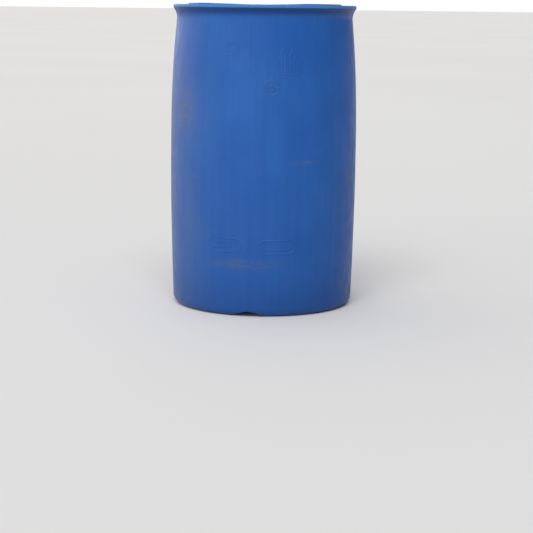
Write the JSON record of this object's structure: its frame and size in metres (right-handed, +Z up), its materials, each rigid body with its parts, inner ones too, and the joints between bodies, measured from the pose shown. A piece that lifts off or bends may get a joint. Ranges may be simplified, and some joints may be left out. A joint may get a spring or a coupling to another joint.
{
  "type": "tight-head drum",
  "caption": "Closed-head blow-moulded plastic drum with a flared lip, a rolled base, and screw-in filler and vent plugs standing in recesses of the head.",
  "frame": {"origin": "the centre of the base, on the floor that the drum stands on", "axes": "+Z up along the drum's axis; -Y towards the front, and the mould's parting plane is 8.6 degrees from -Y towards -X"},
  "size_m": [0.581, 0.58, 0.935],
  "materials": {
    "drum_blue": "semi-gloss blow-moulded polyethylene",
    "closure_blue": "moulded polyethylene",
    "closure_white": "moulded natural polyethylene",
    "seal_rubber": "moulded EPDM rubber"
  },
  "bodies": {
    "drum": {"drum_body": "drum_blue", "filler_neck_insert": "drum_blue", "vent_neck_insert": "drum_blue"},
    "filler_seal": {"filler_gasket": "seal_rubber"},
    "filler_closure": {"filler_plug": "closure_blue"},
    "vent_seal": {"vent_gasket": "seal_rubber"},
    "vent_closure": {"vent_plug": "closure_white"},
    "reducer_seal": {"reducer_gasket": "seal_rubber"},
    "reducer_closure": {"reducer_plug": "closure_blue"}
  },
  "joints": [
    {"name": "filler_lift", "type": "slide", "parent": "drum", "child": "filler_seal", "axis": [0, 0, 1], "range_m": [0, 0.0201]},
    {"name": "filler_turn", "type": "hinge", "parent": "filler_seal", "child": "filler_closure", "pos_m": [-0.03066, -0.20269, 0.917], "axis": [0, 0, 1], "range_deg": [0, 1800]},
    {"name": "vent_lift", "type": "slide", "parent": "drum", "child": "vent_seal", "axis": [0, 0, 1], "range_m": [0, 0.0198]},
    {"name": "vent_turn", "type": "hinge", "parent": "vent_seal", "child": "vent_closure", "pos_m": [0.03066, 0.20269, 0.917], "axis": [0, 0, 1], "range_deg": [0, 3060]},
    {"name": "reducer_lift", "type": "slide", "parent": "vent_closure", "child": "reducer_seal", "axis": [0, 0, 1], "range_m": [0, 0.0138]},
    {"name": "reducer_turn", "type": "hinge", "parent": "reducer_seal", "child": "reducer_closure", "pos_m": [0.03066, 0.20269, 0.917], "axis": [0, 0, 1], "range_deg": [0, 2700]}
  ],
  "couplings": [
    {"joint": "filler_lift", "follows": "filler_turn", "m_per_rad": 0.00063662},
    {"joint": "vent_lift", "follows": "vent_turn", "m_per_rad": 0.00036749},
    {"joint": "reducer_lift", "follows": "reducer_turn", "m_per_rad": 0.00028871}
  ]
}
